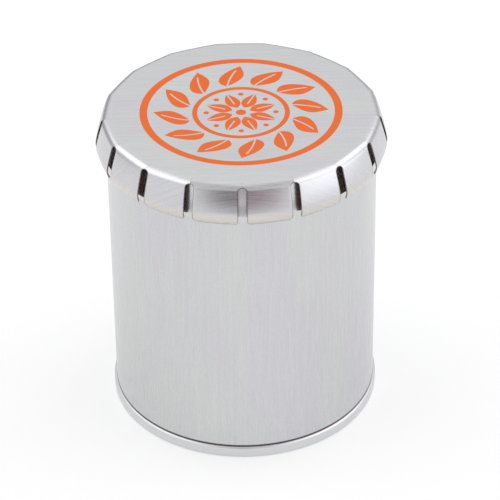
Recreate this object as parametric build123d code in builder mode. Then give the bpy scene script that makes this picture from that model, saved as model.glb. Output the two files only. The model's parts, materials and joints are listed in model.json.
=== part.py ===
"""Tall round mint tin of plain tinplate, with a click lid.

Origin at the centre of the foot, +Z up, front at -Y, millimetres. The can is a rolled wall with a
seamed-on bottom end. The lid is one stamping whose skirt is slit into claws. Its middle stands
a little dished while the claws are let go, and pops up as they swing in under the mouth bead.
"""

from build123d import *

import os
from math import cos, radians, sin, tan

# Can wall
overall_height = 60.95
body_radius = 25.0
wall_sheet = 0.22
lap_width = 2.0

# Bottom end and its seam
end_sheet = 0.22
end_recess = 3.0
end_bend = 0.6
seam_height = 2.27
seam_play = 0.02
seam_bend = 0.25

# Mouth of the can: a bead rolled outward, a neck that narrows above it, and a curled edge
bead_stand = 0.75
bead_height = 6.1
bead_foot = 1.3
bead_bend = 0.4
mouth_inset = 0.6
curl_width = 1.7
curl_drop = 1.1
curl_bend_share = 0.49

# Lid
lid_sheet = 0.22
lid_seat_play = 0.18
rim_width = 4.73
click_radius = 9.0
click_dish = 0.4
fold_play = 0.03

# Claws of the lid, from the fold down to the curled lip
claw_count = 17
slot_width = 1.6
slot_top = 0.5
shoulder_play = 0.06
claw_bend = 1.5
claw_flare = 17.0
lip_play = 0.12
lip_below_bead = 1.1
lip_curl = 3.2
lip_turn = 39.0
lip_corner = 1.0
round_by_share = 0.5

# How finely a claw is followed by its sections
bend_steps = 6
flare_steps = 5
curl_steps = 5

# Cuts run past what they cut by this much
overrun = 1.0

# Lines that more than one piece keeps to
wall_line = body_radius - wall_sheet / 2
wall_inside = body_radius - wall_sheet
mouth_top = overall_height - lid_sheet - lid_seat_play
bead_radius = body_radius + bead_stand
bead_low = mouth_top - bead_height
bead_end = bead_low - bead_foot
lid_middle = overall_height - lid_sheet / 2
claw_pitch = 360.0 / claw_count
front_angle = -90.0
lip_level = bead_low - lip_below_bead
claw_drop = lid_middle - lip_level


def claw_path():
    """Sections down the middle of a claw's sheet: run outward from the fold, height and lean.

    The lean is 0 where the sheet lies flat at the fold and 90 where it stands upright.
    """
    bend_line = claw_bend - lid_sheet / 2
    curl_line = lip_curl - lid_sheet / 2
    flare_low = lip_level + curl_line * (sin(radians(claw_flare)) + sin(radians(lip_turn)))
    path = []
    for step in range(bend_steps + 1):
        lean = (90.0 - claw_flare) * step / bend_steps
        run = bend_line * sin(radians(lean))
        height = lid_middle - bend_line * (1 - cos(radians(lean)))
        path.append((run, height, lean))
    bend_run, bend_low, bend_lean = path[-1]
    for step in range(1, flare_steps + 1):
        height = bend_low + (flare_low - bend_low) * step / flare_steps
        run = bend_run + (bend_low - height) * tan(radians(claw_flare))
        path.append((run, height, bend_lean))
    curl_middle = path[-1][0] - curl_line * cos(radians(claw_flare))
    curl_level = flare_low - curl_line * sin(radians(claw_flare))
    for step in range(1, curl_steps + 1):
        outward = claw_flare - (claw_flare + lip_turn) * step / curl_steps
        run = curl_middle + curl_line * cos(radians(outward))
        height = curl_level + curl_line * sin(radians(outward))
        path.append((run, height, 90.0 - outward))
    return path


def fold_distance():
    """Distance of the folds from the axis, which lets the open lips just pass over the bead."""
    lip_run = claw_path()[-1][0] - lid_sheet / 2 * cos(radians(lip_turn))
    return bead_radius + lip_play - lip_run


def flex_radius():
    """Radius of the bend where the lid's flat ring passes into the flex web."""
    return fold_distance() - rim_width


def save(piece, name):
    """Label a finished piece and write it under its node's name."""
    piece.part.label = name
    export_step(piece.part, f"parts/{name}.step")


def make_body_wall():
    """Rolled wall: hook folded up in the seam, lap at the back, mouth bead, neck and curled edge."""
    hook_line = body_radius + seam_play + wall_sheet / 2
    hook_top = seam_height - end_sheet / 2 - seam_bend
    fold_radius = (hook_line - wall_line) / 2
    fold_low = end_sheet + seam_play + wall_sheet / 2
    fold_level = fold_low + fold_radius
    bead_line = bead_radius - wall_sheet / 2
    mouth_line = wall_line - mouth_inset
    curl_line = mouth_line - curl_width + wall_sheet
    curl_bend = (mouth_line - curl_line) * curl_bend_share
    top_line = mouth_top - wall_sheet / 2
    lap_low = end_recess + end_bend
    with BuildPart() as wall:
        with BuildSketch(Plane.XZ):
            with BuildLine():
                Line((hook_line, hook_top), (hook_line, fold_level))
                ThreePointArc(
                    (hook_line, fold_level),
                    (wall_line + fold_radius, fold_low),
                    (wall_line, fold_level),
                )
                FilletPolyline(
                    (wall_line, fold_level),
                    (wall_line, bead_end),
                    (bead_line, bead_low),
                    (mouth_line, top_line),
                    (curl_line, top_line),
                    (curl_line, mouth_top - curl_drop),
                    radius=[bead_bend, bead_bend, curl_bend, curl_bend],
                )
            trace(line_width=wall_sheet)
        revolve(axis=Axis.Z)
        with BuildSketch(Plane.XY.offset(lap_low)):
            Circle(wall_line)
            Circle(wall_inside - wall_sheet, mode=Mode.SUBTRACT)
            with Locations((0, body_radius)):
                Rectangle(lap_width, body_radius, mode=Mode.INTERSECT)
        extrude(amount=bead_end - lap_low)
    save(wall, "body_wall")


def make_bottom_end():
    """Recessed bottom end, turned down to the foot and clinched round the wall's hook."""
    panel_line = end_recess - end_sheet / 2
    chuck_line = wall_inside - seam_play - end_sheet / 2
    foot_line = end_sheet / 2
    seam_line = body_radius + wall_sheet + 2 * seam_play + end_sheet / 2
    cover_line = seam_height - end_sheet / 2
    with BuildPart() as end:
        with BuildSketch(Plane.XZ):
            with BuildLine():
                FilletPolyline(
                    (0, panel_line),
                    (chuck_line, panel_line),
                    (chuck_line, foot_line),
                    (seam_line, foot_line),
                    (seam_line, cover_line),
                    (body_radius + seam_play, cover_line),
                    radius=[end_bend, seam_bend, seam_bend, seam_bend],
                )
            trace(line_width=end_sheet)
        revolve(axis=Axis.Z)
    save(end, "bottom_end")


def make_rim_panel():
    """Flat outer ring of the lid: straight sides where the claws fold, round inside."""
    with BuildPart() as rim:
        with BuildSketch(Plane.XY.offset(overall_height - lid_sheet)):
            RegularPolygon(
                fold_distance(), claw_count, major_radius=False, rotation=front_angle
            )
            Circle(flex_radius(), mode=Mode.SUBTRACT)
        extrude(amount=lid_sheet)
    save(rim, "lid_rim_panel")


def make_flex_web():
    """Springy cone of the lid between the flat ring and the click panel."""
    with BuildPart() as web:
        with BuildSketch(Plane.XZ):
            with BuildLine():
                Line(
                    (click_radius + fold_play, lid_middle - click_dish),
                    (flex_radius() - fold_play, lid_middle),
                )
            trace(line_width=lid_sheet)
        revolve(axis=Axis.Z)
    save(web, "lid_flex_web")


def make_click_panel():
    """Middle of the lid, which is pressed to let the claws go."""
    with BuildPart() as panel:
        with BuildSketch(Plane.XY.offset(overall_height - click_dish - lid_sheet)):
            Circle(click_radius)
        extrude(amount=lid_sheet)
    save(panel, "lid_click_panel")


def claw_section(distance, height, lean):
    """Cross-section of a claw that faces -Y: straight at the fold, round in plan at the lip."""
    half_pitch = radians(claw_pitch / 2)
    roundness = min(1.0, (lid_middle - height) / (round_by_share * claw_drop))
    sag = roundness * distance * (1 - cos(half_pitch))
    edge_distance = distance - sag * sin(radians(lean))
    half_width = edge_distance * tan(half_pitch) - shoulder_play
    half_sheet = lid_sheet / 2
    section_plane = Plane(
        origin=(0, -distance, height),
        x_dir=(1, 0, 0),
        z_dir=(0, -cos(radians(lean)), -sin(radians(lean))),
    )
    with BuildSketch(section_plane) as section:
        with BuildLine():
            faces = [
                Spline((-half_width, face - sag), (0, face), (half_width, face - sag))
                for face in (half_sheet, -half_sheet)
            ]
            Line(faces[0] @ 0, faces[1] @ 0)
            Line(faces[0] @ 1, faces[1] @ 1)
        make_face()
    return section.sketch


def make_claw_blank():
    """One claw that faces -Y: folded down at the lid's edge, flared, and curled in at the lip."""
    fold_line = fold_distance()
    path = claw_path()
    sections = [claw_section(fold_line + fold_play + run, height, lean) for run, height, lean in path]
    slot_middle = overall_height - slot_top - slot_width / 2
    with BuildPart() as claw:
        loft(sections)
        for side in (-1, 1):
            slot_plane = Plane.XZ.rotated((0, 0, side * claw_pitch / 2)).offset(flex_radius())
            with BuildSketch(slot_plane):
                with Locations((0, slot_middle)):
                    Circle(slot_width / 2)
                    Rectangle(slot_width, claw_drop + overrun, align=(Align.CENTER, Align.MAX))
            extrude(amount=body_radius, mode=Mode.SUBTRACT)
        lip_edges = claw.edges().filter_by(GeomType.LINE).sort_by(Axis.Z)[:2]
        fillet(lip_edges, radius=lip_corner)
    return claw.part


def make_claws():
    """The claws, numbered against the clock from the one at the front's right."""
    blank = make_claw_blank()
    for number in range(claw_count):
        with BuildPart() as claw:
            add(blank.rotate(Axis.Z, claw_pitch * (number + 1 / 2)))
        save(claw, f"lid_claw_{number + 1:02d}")


os.makedirs("parts", exist_ok=True)
make_body_wall()
make_bottom_end()
make_rim_panel()
make_flex_web()
make_click_panel()
make_claws()
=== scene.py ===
"""Looks of a tall round mint tin of plain tinplate with a click lid.

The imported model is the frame, and every piece is built round it in metres. The can's wall and its
bottom end are turned from the profiles of their sheets. The lid is a flat ring, a springy web in
sectors and a click panel, and its claws are pressed from one blank and set round the ring.
"""

import json
from math import cos, hypot, pi, radians, sin, sqrt, tan, tau

import bmesh
import bpy
import numpy as np
from bpy.props import FloatProperty, FloatVectorProperty, IntProperty, PointerProperty
from mathutils import Matrix, Vector


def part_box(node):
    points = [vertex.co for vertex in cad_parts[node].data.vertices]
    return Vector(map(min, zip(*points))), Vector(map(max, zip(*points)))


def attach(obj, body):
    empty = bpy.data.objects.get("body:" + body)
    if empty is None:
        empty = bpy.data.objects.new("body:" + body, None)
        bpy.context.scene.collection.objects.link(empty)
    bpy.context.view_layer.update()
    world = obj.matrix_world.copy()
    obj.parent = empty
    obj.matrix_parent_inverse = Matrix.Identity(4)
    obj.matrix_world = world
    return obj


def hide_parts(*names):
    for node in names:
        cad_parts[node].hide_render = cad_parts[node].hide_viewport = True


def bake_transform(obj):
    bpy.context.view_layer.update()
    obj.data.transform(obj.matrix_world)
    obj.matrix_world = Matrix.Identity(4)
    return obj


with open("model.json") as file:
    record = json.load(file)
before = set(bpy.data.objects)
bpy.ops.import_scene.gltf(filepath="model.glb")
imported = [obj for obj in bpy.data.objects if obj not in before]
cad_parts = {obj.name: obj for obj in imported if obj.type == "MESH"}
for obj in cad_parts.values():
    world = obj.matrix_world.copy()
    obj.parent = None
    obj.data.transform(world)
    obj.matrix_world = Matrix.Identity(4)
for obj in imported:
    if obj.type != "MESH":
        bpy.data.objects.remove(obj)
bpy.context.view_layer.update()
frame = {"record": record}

bl_info = {
    "name": "Mint tin",
    "version": (1, 0, 0),
    "blender": (4, 5, 0),
    "location": "View3D > Sidebar > Mint tin",
    "description": "Builds a mint tin's wall, bottom end, lid and claws, and a studio round it",
    "category": "Object",
}

MM = 0.001
overall_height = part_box("lid_rim_panel")[1][2]
joints = frame["record"]["behaviour"]["joints"]
folds = [joint["pos_m"] for joint in joints if "_fold" in joint["name"]]
fold_distance = hypot(*folds[0][:2])


# Sizes and colours that a user would change

def size(label, text, default):
    """A length of the tin, in metres."""
    return FloatProperty(
        name=label, description=text, default=default, min=0.0, precision=5, unit="LENGTH"
    )


def turn(label, text, default):
    """An angle, given in degrees and kept in radians."""
    return FloatProperty(name=label, description=text, default=radians(default), unit="ROTATION")


def share(label, text, default):
    """A plain number."""
    return FloatProperty(name=label, description=text, default=default, precision=3)


def colour(label, text, default):
    """A colour in linear light."""
    return FloatVectorProperty(
        name=label, description=text, default=default, size=3, min=0.0, max=1.0, subtype="COLOR"
    )


class CanSizes(bpy.types.PropertyGroup):
    """Sizes of the can: its wall, mouth bead, bottom end and seam."""

    radius: size("Wall radius", "Outside radius of the rolled wall", 25 * MM)
    sheet: size("Sheet", "Thickness of the tinplate", 0.22 * MM)
    lap: size("Lap width", "Width of the wall's lapped joint at the back", 2 * MM)
    lap_slit: size("Lap slit", "Hairline beside the outer edge of the lap", 0.07 * MM)
    recess: size("End recess", "Depth of the bottom end's panel above the foot", 3 * MM)
    end_bend: size("End bend", "Bend between the bottom panel and its upright", 0.6 * MM)
    seam_height: size("Seam height", "Height of the bright band at the base", 2.27 * MM)
    seam_play: size("Seam play", "Gap between the sheets in the seam", 0.02 * MM)
    seam_bend: size("Seam bend", "Bend of the sheet round the seam, on its middle line", 0.25 * MM)
    bead_stand: size("Bead stand", "How far the mouth bead stands out from the wall", 0.55 * MM)
    bead_height: size("Bead height", "From the mouth down to the widest part of the bead", 6.1 * MM)
    bead_foot: size("Bead foot", "Height of the slope under the bead", 1.5 * MM)
    bead_bend: size("Bead bend", "Bends at the bead", 0.4 * MM)
    mouth_inset: size("Mouth inset", "How far the neck narrows up to the mouth", 0.6 * MM)
    curl_width: size("Curl width", "Width of the curled edge of the mouth", 1.7 * MM)
    curl_drop: size("Curl drop", "How far the curl turns down inside the mouth", 1.1 * MM)
    curl_round: share("Curl round", "Bends of the curl as a share of its width", 0.49)
    steps: IntProperty(name="Steps", description="Steps round the can", default=256, min=16)


class LidSizes(bpy.types.PropertyGroup):
    """Sizes of the lid: its flat ring, web, click panel and claws."""

    sheet: size("Sheet", "Thickness of the tinplate", 0.22 * MM)
    seat_play: size("Seat play", "Gap between the lid and the mouth of the can", 0.18 * MM)
    ring_width: size("Ring width", "Flat ring from the folds in to the web", 4.73 * MM)
    click_radius: size("Click radius", "Radius of the panel that is pressed", 9 * MM)
    dish: size("Dish", "How far the middle stands below the ring", 0.4 * MM)
    count: IntProperty(name="Claws", description="Number of claws", default=len(folds), min=3)
    strip: size("Fold strip", "Flat strip that a claw keeps inside its fold", 0.5 * MM)
    fold_round: share("Fold round", "Roundness in plan at the fold, 0 for straight sides", 0.3)
    lip_round: share("Lip round", "Roundness in plan at the lip, 1 for a full circle", 0.5)
    slot_width: size("Slot width", "Clear width between two claws", 1.65 * MM)
    slot_top: size("Slot top", "Round end of the slots below the top of the lid", 0.4 * MM)
    shoulder_gap: size("Shoulder gap", "Hairline between two claws above their slot", 0.01 * MM)
    bend: size("Fold bend", "Outside radius of the fold at the lid's edge", 1.6 * MM)
    flare: turn("Flare", "Lean of the claws outward when they are let go", 15.7)
    bulge: turn("Bulge", "How far a claw's flat part is bowed, half above and half below", 7.0)
    lip_drop: size("Lip drop", "How far the lips reach below the widest part of the bead", 1.1 * MM)
    lip_curl: size("Lip curl", "Outside radius of the curled lip", 3.2 * MM)
    lip_turn: turn("Lip turn", "How far the lip curls past upright", 39.0)
    lip_corner: size("Lip corner", "Rounding of the lip's corners", 1.0 * MM)
    round_by: share("Round by", "Share of the drop by which the lip's roundness is reached", 0.28)
    edge_roll: size("Edge roll", "How far the slot's edges are turned in", 0.05 * MM)
    edge_width: size("Edge width", "Width of the turned edge", 0.25 * MM)


class Finishes(bpy.types.PropertyGroup):
    """Colours and roughness of the tinplate and the print."""

    cool: colour("Cool grey", "Tinplate where it looks a shade green", (0.60, 0.615, 0.612))
    mauve: colour("Mauve grey", "Tinplate where it looks a shade violet", (0.598, 0.592, 0.622))
    # The colour of a painted warm reflection on the curled lips.
    warm_reflection: colour("Warm grey", "Tinplate at the curled lips", (0.655, 0.617, 0.588))
    # The colour of a painted highlight on the slope under the bead.
    bright: colour("Bright plate", "Tinplate rubbed bright under the bead", (0.66, 0.66, 0.66))
    inside: colour("Inside lacquer", "Lacquer on the inner side of the claws", (0.46, 0.33, 0.27))
    # The colour of painted shade over the seam, over the bead and along the slots' edges.
    painted_shade: colour("Crevice", "Grime at the seam and at the slots' edges", (0.10, 0.07, 0.07))
    ink: colour("Ink", "Printed orange", (0.87, 0.158, 0.022))
    roughness: share("Roughness", "Roughness of the brushed sheet", 0.27)
    ink_roughness: share("Ink roughness", "Roughness of the print", 0.42)
    inside_roughness: share("Inside roughness", "Roughness of the inside lacquer", 0.5)


class Studio(bpy.types.PropertyGroup):
    """Camera and light."""

    elevation: turn("Elevation", "Height angle of the camera", 34.54)
    roll: turn("Roll", "Roll of the camera", -0.754)
    distance: size("Distance", "From the camera to the middle of the tin", 493.6 * MM)
    lens: share("Lens", "Focal length in millimetres on a 36 mm sensor", 187.2)
    aim_right: size("Aim right", "How far the camera aims right of the tin's middle", 1.31 * MM)
    aim_down: size("Aim down", "How far the camera aims below the tin's middle", 0.51 * MM)
    fill: share("Fill", "Strength of the surrounding light", 0.7)
    softboxes: share("Softboxes", "What they add to the white room behind them", 0.7)
    dimming: share("Dimming", "How much dimmer in gloss the room is over the tin's front", 0.4)


def mouth_level():
    """Height of the can's mouth, under the lid."""
    lid = bpy.context.scene.tin_lid
    return overall_height - lid.sheet - lid.seat_play


# Node trees

def _operator(operation, swapped=False):
    """A method of Term for one of Python's operators."""

    def apply(self, other):
        pair = (other, self) if swapped else (self, other)
        return self.nodes.maths(operation, *pair)

    return apply


class Term:
    """A number in a node tree, for use in Python expressions."""

    def __init__(self, nodes, socket):
        self.nodes = nodes
        self.socket = socket

    __add__ = _operator("ADD")
    __radd__ = _operator("ADD", swapped=True)
    __sub__ = _operator("SUBTRACT")
    __rsub__ = _operator("SUBTRACT", swapped=True)
    __mul__ = _operator("MULTIPLY")
    __rmul__ = _operator("MULTIPLY", swapped=True)
    __truediv__ = _operator("DIVIDE")
    __rtruediv__ = _operator("DIVIDE", swapped=True)
    __pow__ = _operator("POWER")

    def __abs__(self):
        return self.nodes.maths("ABSOLUTE", self)


class Nodes:
    """One node tree, filled by make() and by expressions on its terms."""

    def __init__(self, tree):
        self.tree = tree

    def make(self, kind, settings=None, sockets=None):
        """A node of a type, with its settings set first and its sockets given values or links."""
        node = self.tree.nodes.new(kind)
        for name, value in (settings or {}).items():
            setattr(node, name, value)
        return self.fill(node, sockets or {})

    def fill(self, node, sockets):
        """Gives a node's sockets links or plain values."""
        for name, value in sockets.items():
            if isinstance(value, Term):
                value = value.socket
            if isinstance(value, bpy.types.NodeSocket):
                self.tree.links.new(value, node.inputs[name])
            else:
                node.inputs[name].default_value = value
        return node

    def term(self, node, output=0):
        return Term(self, node.outputs[output])

    def maths(self, operation, *values):
        node = self.make("ShaderNodeMath", {"operation": operation}, dict(enumerate(values)))
        return self.term(node)

    def most(self, *values):
        """The greatest of some values."""
        greatest = values[0]
        for value in values[1:]:
            greatest = self.maths("MAXIMUM", greatest, value)
        return greatest

    def reach(self, x, y):
        """Distance of a place from the middle."""
        return self.maths("SQRT", x * x + y * y)

    def ease(self, value, low, high):
        """0 at low, 1 at high and a smooth step between them. It falls where low is the greater."""
        smooth = {"interpolation_type": "SMOOTHSTEP"}
        sockets = {"Value": value, "From Min": low, "From Max": high}
        return self.term(self.make("ShaderNodeMapRange", smooth, sockets))

    def split(self, vector):
        node = self.make("ShaderNodeSeparateXYZ", sockets={0: vector})
        return [self.term(node, axis) for axis in range(3)]

    def place(self, kind="Object"):
        """The three numbers of a point's place, in one kind of texture coordinate."""
        return self.split(self.make("ShaderNodeTexCoord").outputs[kind])

    def ray(self, kind):
        """1 for rays of a kind, and 0 for others."""
        return self.term(self.make("ShaderNodeLightPath"), f"Is {kind} Ray")

    def vector(self, x, y, z=0.0):
        return self.make("ShaderNodeCombineXYZ", sockets={0: x, 1: y, 2: z}).outputs[0]

    def noise(self, vector, detail=2.0, roughness=0.5):
        """Noise from 0 to 1, one cell to a unit of the vector."""
        sockets = {"Vector": vector, "Scale": 1.0, "Detail": detail, "Roughness": roughness}
        return self.term(self.make("ShaderNodeTexNoise", sockets=sockets))

    def mix(self, factor, first, second):
        """A colour between two, by a factor from 0 to 1."""
        node = self.make("ShaderNodeMix", {"data_type": "RGBA"}, {0: factor, 6: first, 7: second})
        return node.outputs[2]

    def scaled(self, tint, factor):
        """A colour made lighter or darker by a factor."""
        node = self.make("ShaderNodeVectorMath", {"operation": "SCALE"}, {0: tint, "Scale": factor})
        return node.outputs[0]


def opaque(tint):
    """A colour with full alpha, for sockets that want four numbers."""
    return (*tint, 1.0)


def emptied(owner):
    """The node tree of a material or a world, switched on and emptied."""
    owner.use_nodes = True
    owner.node_tree.nodes.clear()
    return Nodes(owner.node_tree)


# Finishes

# Patterns of the brushed sheet: the pitch across the brushing and the length along it
BRUSH_PITCH, BRUSH_LENGTH = 0.16 * MM, 5.0 * MM
STREAK_PITCH, STREAK_LENGTH = 0.55 * MM, 16.0 * MM
BAND_PITCH, BAND_LENGTH = 9.0 * MM, 40.0 * MM
SPECK_PITCH = 2.2 * MM

# Painted shade, highlight and reflection, by where each begins and ends: over the seam, at and over
# the bead, on the lips, at the slots
SEAM_SHADE = (0.42 * MM, 0.14 * MM)
FOOT_HIGHLIGHT_EDGE = 0.2 * MM
BEAD_SHADE_RISE, BEAD_SHADE_FALL, BEAD_SHADE_SHARE = 0.9 * MM, (3.0 * MM, 1.4 * MM), 0.28
LIP_REFLECTION_START, LIP_REFLECTION_WHOLE = 2.7 * MM, 1.5 * MM
MOTTLE_PITCH, MOTTLE_WAY = 1.1 * MM, 1.2 * MM
SLOT_SHADE_EDGE, SLOT_SHADE_SHARE = (0.17 * MM, 0.04 * MM), 0.7

# How much the claws turn to mauve, and the patterns change the tone, the roughness and the relief
MAUVE_SHARE = 0.7
BRUSH_TONE, BRUSH_ROUGH = 0.16, 0.16
STREAK_TONE, STREAK_ROUGH = 0.10, 0.08
SPECK_TONE = 0.35
INK_TONE = 0.05
INK_SMOOTHING = 0.7
RELIEF_STRENGTH, RELIEF_DEPTH = 0.25, 0.004 * MM
SPECULAR_LEVEL = 0.2
LACQUER_TONE, LACQUER_ROUGH, LACQUER_METALLIC = 0.4, 0.2, 0.1

# Forms of the print. half is a petal's half width, and a ring has its reach and half width
LEAVES = {"count": 12, "low": 9.6 * MM, "high": 16.1 * MM, "half": 2.3 * MM, "sway": 0.5}
ROSETTE = {"count": 8, "low": 1.7 * MM, "high": 7.0 * MM, "half": 1.4 * MM}
RINGS = ((17.9 * MM, 0.75 * MM), (8.5 * MM, 0.5 * MM))
VEIN_HALF, SLIT_HALF = 0.2 * MM, 0.17 * MM
DOT_REACH, DOT_RADIUS = 6.4 * MM, 0.55 * MM
MIDDLE_RADIUS = 1.0 * MM
INK_EDGE = 0.07 * MM


def sheet_place(nodes):
    """Places for a pattern on the flat lid, brushed from side to side."""
    x, y, _ = nodes.place()
    return x, y, lambda pitch, length: nodes.vector(x / length, y / pitch)


def blank_place(nodes):
    """Places for a pattern on a claw, where it lay in the flat blank of the lid."""
    x, y, _ = nodes.split(nodes.make("ShaderNodeUVMap", {"uv_map": "Brushing"}).outputs[0])
    return x, y, lambda pitch, length: nodes.vector(x / length, y / pitch)


def wall_place(nodes):
    """Places for a pattern on the wall, brushed upright."""
    x, y, z = nodes.place()
    return x, z, lambda pitch, length: nodes.vector(x / pitch, y / pitch, z / length)


def band_place(nodes):
    """Places for a pattern that runs round a turned piece."""
    x, y, z = nodes.place()
    reach = nodes.reach(x, y)
    return reach, z, lambda pitch, length: nodes.vector(reach / pitch, z / pitch, x / length)


def new_material(name):
    """A new material, its nodes and its shader."""
    material = bpy.data.materials.new(name)
    material.use_nodes = True
    nodes = Nodes(material.node_tree)
    shader = next(n for n in material.node_tree.nodes if n.type == "BSDF_PRINCIPLED")
    return material, nodes, shader


def tinplate(name, place, tint=None, ink=None, tone=1.0, streak=1.0, roughness=None):
    """Brushed tinplate. tone and tint change its colour, and ink lays a print on it."""
    finish = bpy.context.scene.tin_finishes
    material, nodes, shader = new_material(name)
    first, second, at = place(nodes)
    brush = nodes.noise(at(BRUSH_PITCH, BRUSH_LENGTH), detail=3.0, roughness=0.6)
    streaks = nodes.noise(at(STREAK_PITCH, STREAK_LENGTH), detail=2.0)
    bands = nodes.noise(at(BAND_PITCH, BAND_LENGTH), detail=1.0)
    specks = nodes.noise(at(SPECK_PITCH, SPECK_PITCH), detail=6.0, roughness=0.8)
    metal = nodes.mix(nodes.ease(bands, 0.38, 0.62), opaque(finish.cool), opaque(finish.mauve))
    if tint:
        metal = tint(nodes, metal, first, second)
    grain = BRUSH_TONE * (brush - 0.5) + STREAK_TONE * (streaks - 0.5)
    speck = SPECK_TONE * nodes.ease(specks, 0.72, 0.80)
    metal = nodes.scaled(metal, tone * (1.0 + streak * grain) - speck)
    rough = finish.roughness if roughness is None else roughness
    rough = rough + BRUSH_ROUGH * (brush - 0.5) + STREAK_ROUGH * (streaks - 0.5)
    height = brush + 0.5 * streaks
    bare = 1.0
    if ink:
        mask = ink(nodes, first, second)
        bare = 1.0 - mask
        metal = nodes.mix(mask, metal, nodes.scaled(finish.ink, 1.0 + INK_TONE * (brush - 0.5)))
        rough = rough + mask * (finish.ink_roughness - finish.roughness)
        height = height * (1.0 - INK_SMOOTHING * mask)
    sockets = {"Strength": RELIEF_STRENGTH, "Distance": RELIEF_DEPTH, "Height": height}
    relief = nodes.make("ShaderNodeBump", sockets=sockets).outputs[0]
    nodes.fill(shader, {"Base Color": metal, "Roughness": rough, "Metallic": bare})
    nodes.fill(shader, {"Specular IOR Level": SPECULAR_LEVEL, "Normal": relief})
    return material


def inner_lacquer():
    """Dark lacquer on the inner side of the claws."""
    finish = bpy.context.scene.tin_finishes
    material, nodes, shader = new_material("claw_inner_lacquer")
    _, _, at = blank_place(nodes)
    mottle = nodes.noise(at(BRUSH_PITCH, BRUSH_LENGTH)) - 0.5
    tint = nodes.scaled(finish.inside, 1.0 + LACQUER_TONE * mottle)
    rough = finish.inside_roughness + LACQUER_ROUGH * mottle
    nodes.fill(shader, {"Base Color": tint, "Roughness": rough, "Metallic": LACQUER_METALLIC})
    return material


def inked(nodes, depth):
    """1 inside a printed form, by the depth of a place inside its edge."""
    return nodes.ease(depth, 0.0, INK_EDGE)


def petals(nodes, reach, angle, count, low, high, half, sway=0.0):
    """Petals round the middle: their mask, the way off their middle lines, and the way out."""
    along = (reach - low) / (high - low)
    inside = nodes.maths("MINIMUM", nodes.most(along, 0.0), 1.0)
    place = nodes.maths("FRACT", angle * (count / tau) + sway * along + count) - 0.5
    across = abs(place * reach * (tau / count))
    width = half * nodes.maths("SINE", pi * inside**0.85)
    return inked(nodes, width - across), across, along


def leaf_print(nodes, x, y):
    """Printed wreath of leaves between two rings, with a rosette and dots in the middle."""
    reach = nodes.reach(x, y)
    angle = nodes.maths("ARCTAN2", y, x)
    leaves, across, along = petals(nodes, reach, angle, **LEAVES)
    vein = inked(nodes, VEIN_HALF - across) * nodes.ease(along, 0.8, 0.75)
    rosette, off_middle, out = petals(nodes, reach, angle, **ROSETTE)
    slit = inked(nodes, SLIT_HALF - off_middle) * nodes.ease(out, 0.25, 0.3)
    count = ROSETTE["count"]
    dot_place = nodes.maths("FRACT", angle * (count / tau) + count + 0.5) - 0.5
    dot_reach = nodes.reach(dot_place * reach * (tau / count), reach - DOT_REACH)
    forms = [leaves * (1.0 - vein), rosette * (1.0 - slit), inked(nodes, DOT_RADIUS - dot_reach)]
    forms += [inked(nodes, half - abs(reach - ring)) for ring, half in RINGS]
    return nodes.most(inked(nodes, MIDDLE_RADIUS - reach), *forms)


def wall_tint(nodes, metal, _, height):
    """Painted shade just over the seam, a painted highlight on the slope under the bead, and
    painted shade over the bead.
    """
    finish, can = bpy.context.scene.tin_finishes, bpy.context.scene.tin_can
    bead = mouth_level() - can.bead_height
    foot = bead - can.bead_foot
    # Painted shade in the crease just over the seam.
    seam_shade = nodes.ease(height - can.seam_height, *SEAM_SHADE)
    metal = nodes.mix(seam_shade, metal, opaque(finish.painted_shade))
    # Painted highlight on the slope under the bead.
    foot_highlight = nodes.ease(height, foot, foot + FOOT_HIGHLIGHT_EDGE) * nodes.ease(height, bead + FOOT_HIGHLIGHT_EDGE, bead)
    metal = nodes.mix(foot_highlight, metal, opaque(finish.bright))
    # Painted shade on the neck over the bead, where the lid and the claws shade it.
    bead_shade = nodes.ease(height - bead, 0.0, BEAD_SHADE_RISE) * nodes.ease(height - bead, *BEAD_SHADE_FALL)
    return nodes.mix(BEAD_SHADE_SHARE * bead_shade, metal, opaque(finish.painted_shade))


def lip_tint(nodes, metal, x, y):
    """Claws more violet than the lid, with a painted warm reflection at their lips and painted
    shade at the slots' cut edges.
    """
    finish = bpy.context.scene.tin_finishes
    length = ClawLine().length
    reach = nodes.reach(x, y) - fold_distance
    mottle = nodes.noise(nodes.vector(x / MOTTLE_PITCH, y / MOTTLE_PITCH), detail=3.0)
    edge = reach + MOTTLE_WAY * (mottle - 0.5)
    # A painted warm reflection on the lips, with a mottled edge.
    lip = nodes.ease(edge, length - LIP_REFLECTION_START, length - LIP_REFLECTION_WHOLE)
    metal = nodes.mix(MAUVE_SHARE, metal, opaque(finish.mauve))
    metal = nodes.mix(lip, metal, opaque(finish.warm_reflection))
    margin = nodes.term(nodes.make("ShaderNodeAttribute", {"attribute_name": "Margin"}), "Fac")
    # Painted shade along the slots' edges.
    return nodes.mix(SLOT_SHADE_SHARE * nodes.ease(margin, *SLOT_SHADE_EDGE), metal, opaque(finish.painted_shade))


# Meshes

def rounded_line(corners, bends, steps=8):
    """A line through corners, each inner one rounded by its bend."""
    line = [Vector(corners[0])]
    for before, corner, after, bend in zip(corners, corners[1:], corners[2:], bends):
        before, corner, after = Vector(before), Vector(corner), Vector(after)
        back, on = (before - corner).normalized(), (after - corner).normalized()
        half_turn = back.angle(on) / 2
        middle = corner + (back + on).normalized() * bend / sin(half_turn)
        start = corner + back * bend / tan(half_turn) - middle
        end = corner + on * bend / tan(half_turn) - middle
        sweep = pi - 2 * half_turn
        for step in range(steps + 1):
            passed = sweep * step / steps
            line.append(middle + (start * sin(sweep - passed) + end * sin(passed)) / sin(sweep))
    return line + [Vector(corners[-1])]


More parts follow.
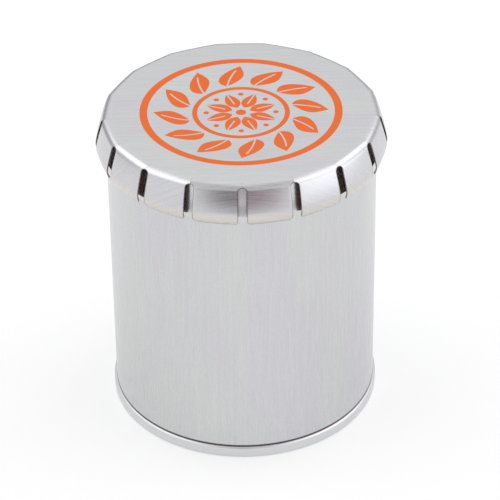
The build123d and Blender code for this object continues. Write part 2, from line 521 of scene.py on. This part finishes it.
def sheet_outline(line, sheet):
    """Closed outline of a sheet that follows a line."""
    sides = []
    for index, point in enumerate(line):
        before = line[max(index - 1, 0)]
        after = line[min(index + 1, len(line) - 1)]
        along = (after - before).normalized()
        sides.append(Vector((-along.y, along.x)) * sheet / 2)
    return [p + s for p, s in zip(line, sides)] + [p - s for p, s in zip(line, sides)][::-1]


def tidy(mesh):
    """Merges doubles, drops slivers, turns faces outward and shades the sheet smooth."""
    work = bmesh.new()
    work.from_mesh(mesh)
    bmesh.ops.remove_doubles(work, verts=work.verts, dist=0.001 * MM)
    bmesh.ops.dissolve_degenerate(work, edges=work.edges, dist=0.0001 * MM)
    bmesh.ops.recalc_face_normals(work, faces=work.faces)
    work.to_mesh(mesh)
    work.free()
    mesh.shade_smooth()
    mesh.set_sharp_from_angle(angle=radians(40))
    return mesh


def shell(name, middle, sheet):
    """A closed sheet round a grid of points on its middle surface, marked on its inner side."""
    normal = np.cross(np.gradient(middle, axis=0), np.gradient(middle, axis=1))
    # A first row that is one point takes the direction that the next row has on average
    if np.ptp(middle[0], axis=0).max() == 0:
        normal[0] = normal[1].mean(axis=0)
    normal /= np.linalg.norm(normal, axis=2, keepdims=True)
    rows, columns = middle.shape[:2]
    outer, inner = middle + normal * sheet / 2, middle - normal * sheet / 2
    points = np.concatenate([outer.reshape(-1, 3), inner.reshape(-1, 3)])
    number = np.arange(rows * columns).reshape(rows, columns)
    under = number + rows * columns
    corners = ((0, 0), (1, 0), (1, 1), (0, 1)), ((0, 0), (0, 1), (1, 1), (1, 0))
    faces = [
        tuple(side[row + down, column + on] for down, on in order)
        for side, order in zip((number, under), corners)
        for row in range(rows - 1)
        for column in range(columns - 1)
    ]
    inner_start, inner_end = len(faces) // 2, len(faces)
    sides = [(number[0, ::-1], under[0, ::-1]), (number[-1], under[-1])]
    if not np.allclose(middle[:, 0], middle[:, -1]):
        sides += [(number[:, 0], under[:, 0]), (number[::-1, -1], under[::-1, -1])]
    for upper, lower in sides:
        if np.ptp(points[upper], axis=0).max() > 0:
            faces += list(zip(upper[:-1], lower[:-1], lower[1:], upper[1:]))
    mesh = bpy.data.meshes.new(name)
    mesh.from_pydata(points.tolist(), [], [tuple(int(i) for i in f) for f in faces])
    inside = mesh.attributes.new("inside", "BOOLEAN", "FACE")
    inside.data.foreach_set("value", [inner_start <= i < inner_end for i in range(len(faces))])
    return mesh


def new_piece(name, mesh, materials=()):
    """A finished object at the origin."""
    for material in materials:
        mesh.materials.append(material)
    piece = bpy.data.objects.new(name, mesh)
    bpy.context.scene.collection.objects.link(piece)
    return piece


# Geometry node trees

def new_tree(name, inputs):
    """A geometry tree that takes a geometry and named values, its nodes and its inputs."""
    tree = bpy.data.node_groups.new(name, "GeometryNodeTree")
    tree.interface.new_socket("Geometry", in_out="INPUT", socket_type="NodeSocketGeometry")
    for label, kind in inputs.items():
        tree.interface.new_socket(label, in_out="INPUT", socket_type=kind)
    tree.interface.new_socket("Geometry", in_out="OUTPUT", socket_type="NodeSocketGeometry")
    nodes = Nodes(tree)
    return tree, nodes, nodes.make("NodeGroupInput").outputs


def attribute(nodes, kind, name):
    """An attribute of the geometry, by its name."""
    node = nodes.make("GeometryNodeInputNamedAttribute", {"data_type": kind}, {"Name": name})
    return node.outputs[0]


def painted(nodes, geometry, material, selection=True):
    """The geometry with a material on the faces of a selection."""
    sockets = {"Geometry": geometry, "Selection": selection, "Material": material}
    return nodes.make("GeometryNodeSetMaterial", sockets=sockets).outputs[0]


def shaped(name, mesh, tree, values):
    """The plain mesh that a geometry tree makes from a mesh and its input values."""
    source = new_piece(name + "_source", mesh)
    modifier = source.modifiers.new(tree.name, "NODES")
    modifier.node_group = tree
    for item in tree.interface.items_tree:
        if item.in_out == "INPUT" and item.name in values:
            modifier[item.identifier] = values[item.name]
    graph = bpy.context.evaluated_depsgraph_get()
    made = bpy.data.meshes.new_from_object(source.evaluated_get(graph), depsgraph=graph)
    made.name = name
    bpy.data.objects.remove(source)
    return made


def turning_tree():
    """Turns a closed profile round the tin's axis."""
    if "Turned sheet" in bpy.data.node_groups:
        return bpy.data.node_groups["Turned sheet"]
    number = "NodeSocketFloat"
    inputs = {"Radius": number, "Start": number, "Sweep": number, "Steps": "NodeSocketInt"}
    inputs |= {"Whole": "NodeSocketBool", "Material": "NodeSocketMaterial"}
    tree, nodes, given = new_tree("Turned sheet", inputs)
    sockets = {"Resolution": given["Steps"], "Radius": given["Radius"]}
    circle = nodes.make("GeometryNodeCurvePrimitiveCircle", {"mode": "RADIUS"}, sockets)
    sockets |= {"Start Angle": given["Start"], "Sweep Angle": given["Sweep"]}
    arc = nodes.make("GeometryNodeCurveArc", {"mode": "RADIUS"}, sockets)
    sockets = {"Switch": given["Whole"], "False": arc.outputs[0], "True": circle.outputs[0]}
    path = nodes.make("GeometryNodeSwitch", {"input_type": "GEOMETRY"}, sockets)
    profile = nodes.make("GeometryNodeMeshToCurve", sockets={0: given["Geometry"]})
    sheet = nodes.make(
        "GeometryNodeCurveToMesh",
        sockets={"Curve": path.outputs[0], "Profile Curve": profile.outputs[0], "Fill Caps": True},
    )
    real = nodes.make("GeometryNodeRealizeInstances", sockets={0: sheet.outputs[0]})
    result = painted(nodes, real.outputs[0], given["Material"])
    nodes.make("NodeGroupOutput", sockets={0: result})
    return tree


def turned(name, line, sheet, material, start=0.0, sweep=tau):
    """A piece of sheet, turned round the axis along a line of its profile."""
    can = bpy.context.scene.tin_can
    points = sheet_outline(line, sheet)
    edges = [(i, (i + 1) % len(points)) for i in range(len(points))]
    profile = bpy.data.meshes.new(name + "_profile")
    # The tree takes the profile with its reach past the wall on X and its depth on Y
    profile.from_pydata([(p.x - can.radius, -p.y, 0.0) for p in points], edges, [])
    values = {"Radius": can.radius, "Start": start, "Sweep": sweep, "Steps": can.steps}
    values |= {"Whole": sweep == tau, "Material": material}
    return new_piece(name, tidy(shaped(name, profile, turning_tree(), values)))


def claw_tree():
    """Sets the pressed claw at its place in the ring, and turns its flat blank with it."""
    if "Ring of claws" in bpy.data.node_groups:
        return bpy.data.node_groups["Ring of claws"]
    whole, material = "NodeSocketInt", "NodeSocketMaterial"
    inputs = {"Number": whole, "Count": whole, "Outside": material, "Inside": material}
    tree, nodes, given = new_tree("Ring of claws", inputs)
    angle = (Term(nodes, given["Number"]) - 0.5) * (tau / Term(nodes, given["Count"]))
    sockets = {"Geometry": given["Geometry"], "Rotation": nodes.vector(0.0, 0.0, angle)}
    placed = nodes.make("GeometryNodeTransform", sockets=sockets)
    sockets = {"Vector": attribute(nodes, "FLOAT_VECTOR", "Blank"), "Angle": angle}
    flat = nodes.make("ShaderNodeVectorRotate", {"rotation_type": "Z_AXIS"}, sockets)
    brushing = nodes.make(
        "GeometryNodeStoreNamedAttribute",
        {"data_type": "FLOAT2", "domain": "CORNER"},
        {"Geometry": placed.outputs[0], "Name": "Brushing", "Value": flat.outputs[0]},
    )
    real = nodes.make("GeometryNodeRealizeInstances", sockets={0: brushing.outputs[0]})
    outer = painted(nodes, real.outputs[0], given["Outside"])
    inside = attribute(nodes, "BOOLEAN", "inside")
    result = painted(nodes, outer, given["Inside"], inside)
    nodes.make("NodeGroupOutput", sockets={0: result})
    return tree


# Claws

# How finely a claw is followed across: shares of its turned edge, and columns between the edges
EDGE_SHARES = (0.0, 0.1, 0.22, 0.36, 0.5, 0.66, 0.82, 1.0)
MIDDLE_COLUMNS = 22

# And down: rows on the strip, then to the slots' ends, round those, down the flat, at the corners
STRIP_ROWS, TOP_ROWS, ROUND_ROWS, FLAT_ROWS, CORNER_ROWS = 3, 12, 12, 26, 10

# Where the turned edges begin past the slots' ends, and where they fade out before the lip's end
ROLL_START = 0.7 * MM
ROLL_FADE, ROLL_END = 2.4 * MM, 1.2 * MM


class ClawLine:
    """The line of a claw's sheet: out from the fold, down, bowed a little, and in at the lip."""

    def __init__(self):
        lid, can = bpy.context.scene.tin_lid, bpy.context.scene.tin_can
        self.level = overall_height - lid.sheet / 2
        self.drop = self.level - mouth_level() + can.bead_height + lid.lip_drop
        upright = pi / 2 - lid.flare
        leans = [0.0, upright - lid.bulge / 2, upright + lid.bulge / 2, pi / 2 + lid.lip_turn]
        bend, curl = lid.bend - lid.sheet / 2, lid.lip_curl - lid.sheet / 2
        falls = [cos(first) - cos(second) for first, second in zip(leans, leans[1:])]
        bulge = (self.drop - bend * falls[0] - curl * falls[2]) / falls[1]
        self.arcs = list(zip((bend, bulge, curl), leans, leans[1:]))
        self.length = sum(radius * (end - start) for radius, start, end in self.arcs)
        lengths = np.linspace(0.0, self.length, 400)
        depths = [-self.at(along)[1] for along in lengths]
        slot_level = overall_height - lid.slot_top - lid.sheet / 2
        self.slot_start = float(np.interp(-slot_level, depths, lengths))

    def at(self, along):
        """Distance from the axis, height and lean of the sheet at a length from the fold."""
        distance, height, lean = fold_distance + min(along, 0.0), self.level, 0.0
        left = max(along, 0.0)
        for radius, start, end in self.arcs:
            lean = min(start + left / radius, end)
            distance += radius * (sin(lean) - sin(start))
            height -= radius * (cos(start) - cos(lean))
            left -= radius * (lean - start)
            if lean < end:
                break
        return distance, height, lean


def ease(value, low, high):
    """A smooth step between two values, in plain numbers."""
    part = min(max((value - low) / (high - low), 0.0), 1.0)
    return part * part * (3 - 2 * part)


def claw_rows(line, lid):
    """Lengths from the fold at which a claw has a row of points."""
    slot, corner = line.slot_start, line.length - lid.lip_corner
    rows = [*np.linspace(-lid.strip, 0.0, STRIP_ROWS), *np.linspace(0.0, slot, TOP_ROWS)[1:]]
    for step in range(1, ROUND_ROWS + 1):
        rows.append(slot + lid.slot_width / 2 * (1 - cos(pi / 2 * step / ROUND_ROWS)))
    rows += list(np.linspace(rows[-1], corner, FLAT_ROWS)[1:])
    for step in range(1, CORNER_ROWS + 1):
        rows.append(corner + lid.lip_corner * sin(pi / 2 * step / CORNER_ROWS))
    return rows


def slot_clearance(past_start, lid):
    """Half the width of the slot at a length past its round end."""
    half = lid.slot_width / 2
    past = min(max(past_start, 0.0), half)
    return max(lid.shoulder_gap, sqrt(half**2 - (half - past) ** 2))


def claw_mesh():
    """One pressed claw that faces the front, its points marked by place in the blank and margin."""
    lid = bpy.context.scene.tin_lid
    line = ClawLine()
    half_pitch = pi / lid.count
    half_slot = lid.slot_width / 2
    middle, blank, margins = [], [], []
    for along in claw_rows(line, lid):
        distance, height, lean = line.at(along)
        roundness = min(1.0, max(0.0, (line.level - height) / (lid.round_by * line.drop)))
        full_bow = distance * (1 - cos(half_pitch)) / (distance * tan(half_pitch)) ** 2
        plan_bow = full_bow * lid.fold_round * ease(along, -lid.strip, 0.0)
        bow = full_bow * (lid.lip_round - lid.fold_round) * roundness
        clearance = slot_clearance(along - line.slot_start, lid)
        edge = distance * tan(half_pitch)
        for _ in range(4):
            reach = distance - (plan_bow + bow * sin(lean)) * edge**2
            edge = (reach * sin(half_pitch) - clearance) / cos(half_pitch)
        past_corner = max(along - line.length + lid.lip_corner, 0.0) / lid.lip_corner
        edge -= lid.lip_corner * (1 - sqrt(max(1 - past_corner**2, 0.0)))
        rolled = ease(along, line.slot_start, line.slot_start + ROLL_START)
        rolled *= 1 - ease(along, line.length - ROLL_FADE, line.length - ROLL_END)
        side = [edge - part * lid.edge_width for part in EDGE_SHARES]
        inner = list(np.linspace(-side[-1], side[-1], MIDDLE_COLUMNS + 2)[1:-1])
        places = [-x for x in side] + inner + side[::-1]
        row, flat = [], []
        for x in places:
            turned_in = max(0.0, 1 - (edge - abs(x)) / lid.edge_width)
            sag = bow * x**2 + rolled * lid.edge_roll * turned_in**2
            reach = distance - plan_bow * x**2 - sag * sin(lean)
            row.append((x, -reach, height - sag * cos(lean)))
            flat.append((x, -(fold_distance + along), 0.0))
            above = max(line.slot_start + half_slot - along, 0.0)
            margins.append(hypot(edge + clearance - abs(x), above) - half_slot)
        middle.append(row)
        blank.append(flat)
    mesh = shell("claw", np.array(middle), lid.sheet)
    places = np.array(blank, float).reshape(-1, 3)
    kept = mesh.attributes.new("Blank", "FLOAT_VECTOR", "POINT")
    kept.data.foreach_set("vector", np.concatenate([places, places]).reshape(-1))
    margin = mesh.attributes.new("Margin", "FLOAT", "POINT")
    margin.data.foreach_set("value", margins + margins)
    return mesh


def lid_patch(name, metal, inner, outer, level, rings, steps, start=0.0, sweep=tau):
    """A piece of the lid's sheet, from a reach out to one that is given by angle."""
    rows = []
    for ring in range(rings + 1):
        part = ring / rings
        row = []
        for step in range(steps + 1):
            angle = start + sweep * step / steps
            reach = inner + (outer(angle) - inner) * part
            row.append((reach * sin(angle), -reach * cos(angle), level(reach)))
        rows.append(row)
    mesh = shell(name, np.array(rows), bpy.context.scene.tin_lid.sheet)
    return new_piece(name, tidy(mesh), [metal])


# Operators

class TIN_OT_can_wall(bpy.types.Operator):
    """Turns the can's wall, with its seam hook, mouth bead and curl, and laps it at the back"""

    bl_idname = "tin.can_wall"
    bl_label = "Can wall"

    def execute(self, context):
        can, mouth_top = context.scene.tin_can, mouth_level()
        wall = can.radius - can.sheet / 2
        hook = can.radius + can.seam_play + can.sheet / 2
        hook_top = can.seam_height - can.sheet / 2 - can.seam_bend
        fold = (hook - wall) / 2
        fold_level = can.sheet * 3 / 2 + can.seam_play + fold
        bead = can.radius + can.bead_stand - can.sheet / 2
        bead_low = mouth_top - can.bead_height
        bead_end = bead_low - can.bead_foot
        mouth = wall - can.mouth_inset
        curl = mouth - can.curl_width + can.sheet
        top = mouth_top - can.sheet / 2
        curl_bend = (mouth - curl) * can.curl_round
        turns = [pi * step / 8 for step in range(8)]
        hooked = [Vector((wall + fold + fold * cos(a), fold_level - fold * sin(a))) for a in turns]
        corners = [
            (wall, fold_level),
            (wall, bead_end),
            (bead, bead_low),
            (mouth, top),
            (curl, top),
            (curl, mouth_top - can.curl_drop),
        ]
        upright = rounded_line(corners, [can.bead_bend, can.bead_bend, curl_bend, curl_bend])
        line = [Vector((hook, hook_top))] + hooked + upright
        metal = tinplate("wall_tinplate", wall_place, tint=wall_tint, tone=1.05)
        whole, sweep = tau - can.lap_slit / can.radius, can.lap / can.radius
        lap_edge = pi / 2 + sweep / 2
        rolled = turned("can_wall", line, can.sheet, metal, start=lap_edge, sweep=whole)
        inward = can.radius - can.sheet * 3 / 2
        line = [Vector((inward, can.recess + can.end_bend)), Vector((inward, bead_end))]
        lap = turned("can_lap", line, can.sheet, metal, start=lap_edge - sweep, sweep=sweep)
        for piece in (rolled, lap):
            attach(piece, "tin")
            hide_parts("body_wall")
        return {"FINISHED"}


class TIN_OT_bottom_end(bpy.types.Operator):
    """Turns the recessed bottom end, whose edge is clinched round the wall in the seam"""

    bl_idname = "tin.bottom_end"
    bl_label = "Bottom end"

    def execute(self, context):
        can = context.scene.tin_can
        panel = can.recess - can.sheet / 2
        chuck = can.radius - can.sheet - can.seam_play - can.sheet / 2
        cover = can.radius + can.sheet + 2 * can.seam_play + can.sheet / 2
        top = can.seam_height - can.sheet / 2
        corners = [
            (0.0, panel),
            (chuck, panel),
            (chuck, can.sheet / 2),
            (cover, can.sheet / 2),
            (cover, top),
            (can.radius + can.seam_play, top),
        ]
        line = rounded_line(corners, [can.end_bend, can.seam_bend, can.seam_bend, can.seam_bend])
        # A tone of 1.2 paints the bottom end lighter than the wall: a painted sheen on the seam
        # band.
        metal = tinplate("end_tinplate", band_place, tone=1.2, streak=0.4, roughness=0.36)
        piece = turned("bottom_end_shell", line, can.sheet, metal)
        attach(piece, "tin")
        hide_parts("bottom_end")
        return {"FINISHED"}


class TIN_OT_lid_top(bpy.types.Operator):
    """Makes the lid's flat ring, its springy web in sectors, and the click panel"""

    bl_idname = "tin.lid_top"
    bl_label = "Lid top"

    def execute(self, context):
        lid = context.scene.tin_lid
        line = ClawLine()
        pitch = tau / lid.count
        click, flex = lid.click_radius, fold_distance - lid.ring_width
        metal = tinplate("lid_tinplate", sheet_place, ink=leaf_print, tone=1.02, streak=1.6)

        def fold_edge(angle):
            """Reach of the straight sides, which the claws' flat strips begin at."""
            off_middle = (angle % pitch) - pitch / 2
            return (fold_distance - lid.strip) / cos(off_middle)

        def level(reach):
            """Height of the sheet's middle, which the web brings down to the dish."""
            return line.level - lid.dish * (1 - ease(reach, click, flex))

        ring = lid_patch("lid_ring", metal, flex, fold_edge, level, 6, lid.count * 8)
        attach(ring, "lid")
        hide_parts("lid_rim_panel")
        for number in range(lid.count):
            start = number * pitch
            name = f"lid_web_{number + 1:02d}"
            web = lid_patch(name, metal, click, lambda angle: flex, level, 16, 8, start, pitch)
            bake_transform(web)
            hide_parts("lid_flex_web")
        panel = lid_patch("click_panel_top", metal, 0.0, lambda angle: click, level, 10, 128)
        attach(panel, "click_panel")
        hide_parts("lid_click_panel")
        return {"FINISHED"}


class TIN_OT_claws(bpy.types.Operator):
    """Presses the claws and sets them round the lid"""

    bl_idname = "tin.claws"
    bl_label = "Claws"

    def execute(self, context):
        lid = context.scene.tin_lid
        line = ClawLine()
        looks = {"tone": 1.04, "streak": 1.6, "roughness": 0.26}
        outside = tinplate("claw_tinplate", blank_place, tint=lip_tint, **looks)
        inside = inner_lacquer()
        blank = claw_mesh()
        for number in range(1, lid.count + 1):
            name = f"claw_{number:02d}_sheet"
            values = {"Number": number, "Count": lid.count, "Outside": outside, "Inside": inside}
            claw = new_piece(name, tidy(shaped(name, blank, claw_tree(), values)))
            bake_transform(claw)
            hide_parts(f"lid_claw_{number:02d}")
        return {"FINISHED"}


# Studio

WHITE = opaque((1.0, 1.0, 1.0))

# The floor's paper, what it glows by in the metal, and what it glows by more for the camera
PAPER = opaque((0.86, 0.86, 0.86))
PAPER_GLOW, PAPER_CAMERA_GLOW = 0.21, 0.07
FLOOR_HALF = 4.0

# The softboxes: angle from the front, angle from level, distance from the lid, and size
SOFTBOX_TURN, SOFTBOX_RISE = radians(100), radians(46)
SOFTBOX_DISTANCE, SOFTBOX_SIZE = 0.9, (1.3, 0.6)

# The screen that only gloss sees
SCREEN_RADIUS, SCREEN_HEIGHT = 0.30, 0.19

# Degrees round the tin from its front, with the screen's tone there
SCREEN_TONES = (
    (-180, 0.5, 0.5, 0.52),
    (-150, 0.42, 0.42, 0.44),
    (-105, 0.6, 0.6, 0.62),
    (-80, 0.92, 0.92, 0.95),
    (-60, 0.96, 0.96, 1.0),
    (-36, 0.98, 0.98, 0.97),
    (-24, 0.97, 0.97, 0.95),
    (-20, 0.18, 0.155, 0.165),
    (-2, 0.18, 0.155, 0.165),
    (2, 0.29, 0.19, 0.21),
    (20, 0.30, 0.19, 0.21),
    (26, 0.98, 0.97, 0.97),
    (50, 1.45, 1.47, 1.5),
    (65, 1.75, 1.77, 1.81),
    (85, 1.8, 1.82, 1.86),
    (112, 0.7, 0.7, 0.72),
    (150, 0.6, 0.6, 0.62),
    (180, 0.5, 0.5, 0.52),
)

# Heights between which the tones fade to white, up at the top and down at the foot
TOP_FADE, FOOT_FADE = (0.12, 0.22), (0.036, 0.010)


def screen_material():
    """The screen's glow, whose tones change round the tin and fade to white at top and foot."""
    material = bpy.data.materials.new("screen_tones")
    nodes = emptied(material)
    x, y, z = nodes.place()
    round_by = nodes.maths("ARCTAN2", x, -1.0 * y) / tau + 0.5
    ramp = nodes.make("ShaderNodeValToRGB", sockets={"Fac": round_by})
    stops = ramp.color_ramp.elements
    while len(stops) < len(SCREEN_TONES):
        stops.new(0.5)
    for stop, (angle, *tone) in zip(stops, SCREEN_TONES):
        stop.position = angle / 360 + 0.5
        stop.color = opaque(tone)
    fade = nodes.most(nodes.ease(z, *TOP_FADE), nodes.ease(z, *FOOT_FADE))
    tone = nodes.mix(fade, ramp.outputs["Color"], WHITE)
    glow = nodes.make("ShaderNodeEmission", sockets={"Color": tone})
    nodes.make("ShaderNodeOutputMaterial", sockets={"Surface": glow.outputs[0]})
    return material


def seen_as_white(nodes):
    """1 for rays that show the background: the camera's, and those in metal and glass."""
    return nodes.most(*(nodes.ray(kind) for kind in ("Camera", "Glossy", "Transmission")))


def over_front(nodes):
    """1 for directions up over the tin's front, and 0 for those aside, behind and low."""
    x, y, z = nodes.place("Generated")
    ahead = nodes.ease(-1.0 * y, -0.5, 0.5) * nodes.ease(abs(x), 0.5, 0.25)
    return ahead * nodes.ease(z, 0.3, 0.5)


def add_screen(steps=96):
    """An upright round screen that only gloss sees, with the tones that the metal reflects."""
    mesh = bpy.data.meshes.new("screen")
    turns = [tau * step / steps for step in range(steps)]
    ring = [(SCREEN_RADIUS * sin(angle), -SCREEN_RADIUS * cos(angle)) for angle in turns]
    points = [(x, y, z) for z in (0.0, SCREEN_HEIGHT) for x, y in ring]
    faces = [(i, (i + 1) % steps, (i + 1) % steps + steps, i + steps) for i in range(steps)]
    mesh.from_pydata(points, [], faces)
    screen = new_piece("screen", mesh, [screen_material()])
    for seen in ("visible_camera", "visible_diffuse", "visible_shadow", "visible_transmission"):
        setattr(screen, seen, False)


def looking(place, target):
    """The matrix of a lamp or camera at a place that looks at a target."""
    turned_to = (place - target).to_track_quat("Z", "Y").to_matrix().to_4x4()
    return Matrix.Translation(place) @ turned_to


def add_softbox(name, angle, strength):
    """A soft lamp that looks at the tin's lid, and adds to the white room behind it."""
    data = bpy.data.lights.new(name, "AREA")
    data.shape = "RECTANGLE"
    data.size, data.size_y = width, height = SOFTBOX_SIZE
    data.energy = strength * pi * width * height
    lamp = bpy.data.objects.new(name, data)
    bpy.context.scene.collection.objects.link(lamp)
    flat, lid = cos(SOFTBOX_RISE), Vector((0.0, 0.0, overall_height))
    away = Vector((sin(angle) * flat, -cos(angle) * flat, sin(SOFTBOX_RISE)))
    lamp.matrix_world = looking(lid + away * SOFTBOX_DISTANCE, lid)


class TIN_OT_studio(bpy.types.Operator):
    """Sets up the pale floor, the soft light, the screen that the metal reflects, and the camera"""

    bl_idname = "tin.studio"
    bl_label = "Studio"

    def execute(self, context):
        self.add_floor()
        self.light(context)
        self.add_camera(context)
        context.scene.view_settings.view_transform = "Standard"
        return {"FINISHED"}

    def add_floor(self):
        mesh = bpy.data.meshes.new("floor")
        sides = ((-1, -1), (1, -1), (1, 1), (-1, 1))
        corners = [(FLOOR_HALF * x, FLOOR_HALF * y, 0.0) for x, y in sides]
        mesh.from_pydata(corners, [], [(0, 1, 2, 3)])
        material = bpy.data.materials.new("floor_paper")
        nodes = emptied(material)
        paper = nodes.make("ShaderNodeBsdfDiffuse", sockets={"Color": PAPER})
        strength = PAPER_GLOW * seen_as_white(nodes) + PAPER_CAMERA_GLOW * nodes.ray("Camera")
        glow = nodes.make("ShaderNodeEmission", sockets={"Strength": strength})
        both = nodes.make("ShaderNodeAddShader", sockets={0: paper.outputs[0], 1: glow.outputs[0]})
        nodes.make("ShaderNodeOutputMaterial", sockets={"Surface": both.outputs[0]})
        new_piece("floor", mesh, [material])

    def light(self, context):
        studio = context.scene.tin_studio
        world = bpy.data.worlds.new("white_room")
        nodes = emptied(world)
        strength = studio.fill + (1.0 - studio.fill) * seen_as_white(nodes)
        strength = strength * (1.0 - studio.dimming * nodes.ray("Glossy") * over_front(nodes))
        sockets = {"Color": WHITE, "Strength": strength}
        room = nodes.make("ShaderNodeBackground", sockets=sockets)
        nodes.make("ShaderNodeOutputWorld", sockets={"Surface": room.outputs[0]})
        context.scene.world = world
        add_softbox("softbox_left", -SOFTBOX_TURN, studio.softboxes)
        add_softbox("softbox_right", SOFTBOX_TURN, studio.softboxes)
        add_screen()

    def add_camera(self, context):
        studio = context.scene.tin_studio
        camera = bpy.data.cameras.new("camera")
        camera.lens = studio.lens
        camera.sensor_width = 36.0
        camera.clip_start = 0.01
        eye = bpy.data.objects.new("camera", camera)
        context.scene.collection.objects.link(eye)
        middle = Vector((0.0, 0.0, overall_height / 2))
        away = Vector((0.0, -cos(studio.elevation), sin(studio.elevation)))
        up = Vector((0.0, sin(studio.elevation), cos(studio.elevation)))
        place = middle + away * studio.distance
        target = middle + Vector((studio.aim_right, 0.0, 0.0)) - up * studio.aim_down
        eye.matrix_world = looking(place, target) @ Matrix.Rotation(studio.roll, 4, "Z")
        context.scene.camera = eye


class TIN_PT_panel(bpy.types.Panel):
    """Lists the steps that build the tin"""

    bl_label = "Mint tin"
    bl_idname = "TIN_PT_panel"
    bl_space_type = "VIEW_3D"
    bl_region_type = "UI"
    bl_category = "Mint tin"

    def draw(self, context):
        for operator in OPERATORS:
            self.layout.operator(operator.bl_idname)


GROUPS = {"tin_can": CanSizes, "tin_lid": LidSizes, "tin_finishes": Finishes, "tin_studio": Studio}
OPERATORS = (TIN_OT_can_wall, TIN_OT_bottom_end, TIN_OT_lid_top, TIN_OT_claws, TIN_OT_studio)


def register():
    for name, group in GROUPS.items():
        bpy.utils.register_class(group)
        setattr(bpy.types.Scene, name, PointerProperty(type=group))
    for item in (*OPERATORS, TIN_PT_panel):
        bpy.utils.register_class(item)


def unregister():
    for item in (TIN_PT_panel, *reversed(OPERATORS)):
        bpy.utils.unregister_class(item)
    for name, group in GROUPS.items():
        delattr(bpy.types.Scene, name)
        bpy.utils.unregister_class(group)


def main():
    """Builds the tin and its studio."""
    register()
    bpy.ops.tin.can_wall()
    bpy.ops.tin.bottom_end()
    bpy.ops.tin.lid_top()
    bpy.ops.tin.claws()
    bpy.ops.tin.studio()


if __name__ == "__main__":
    main()
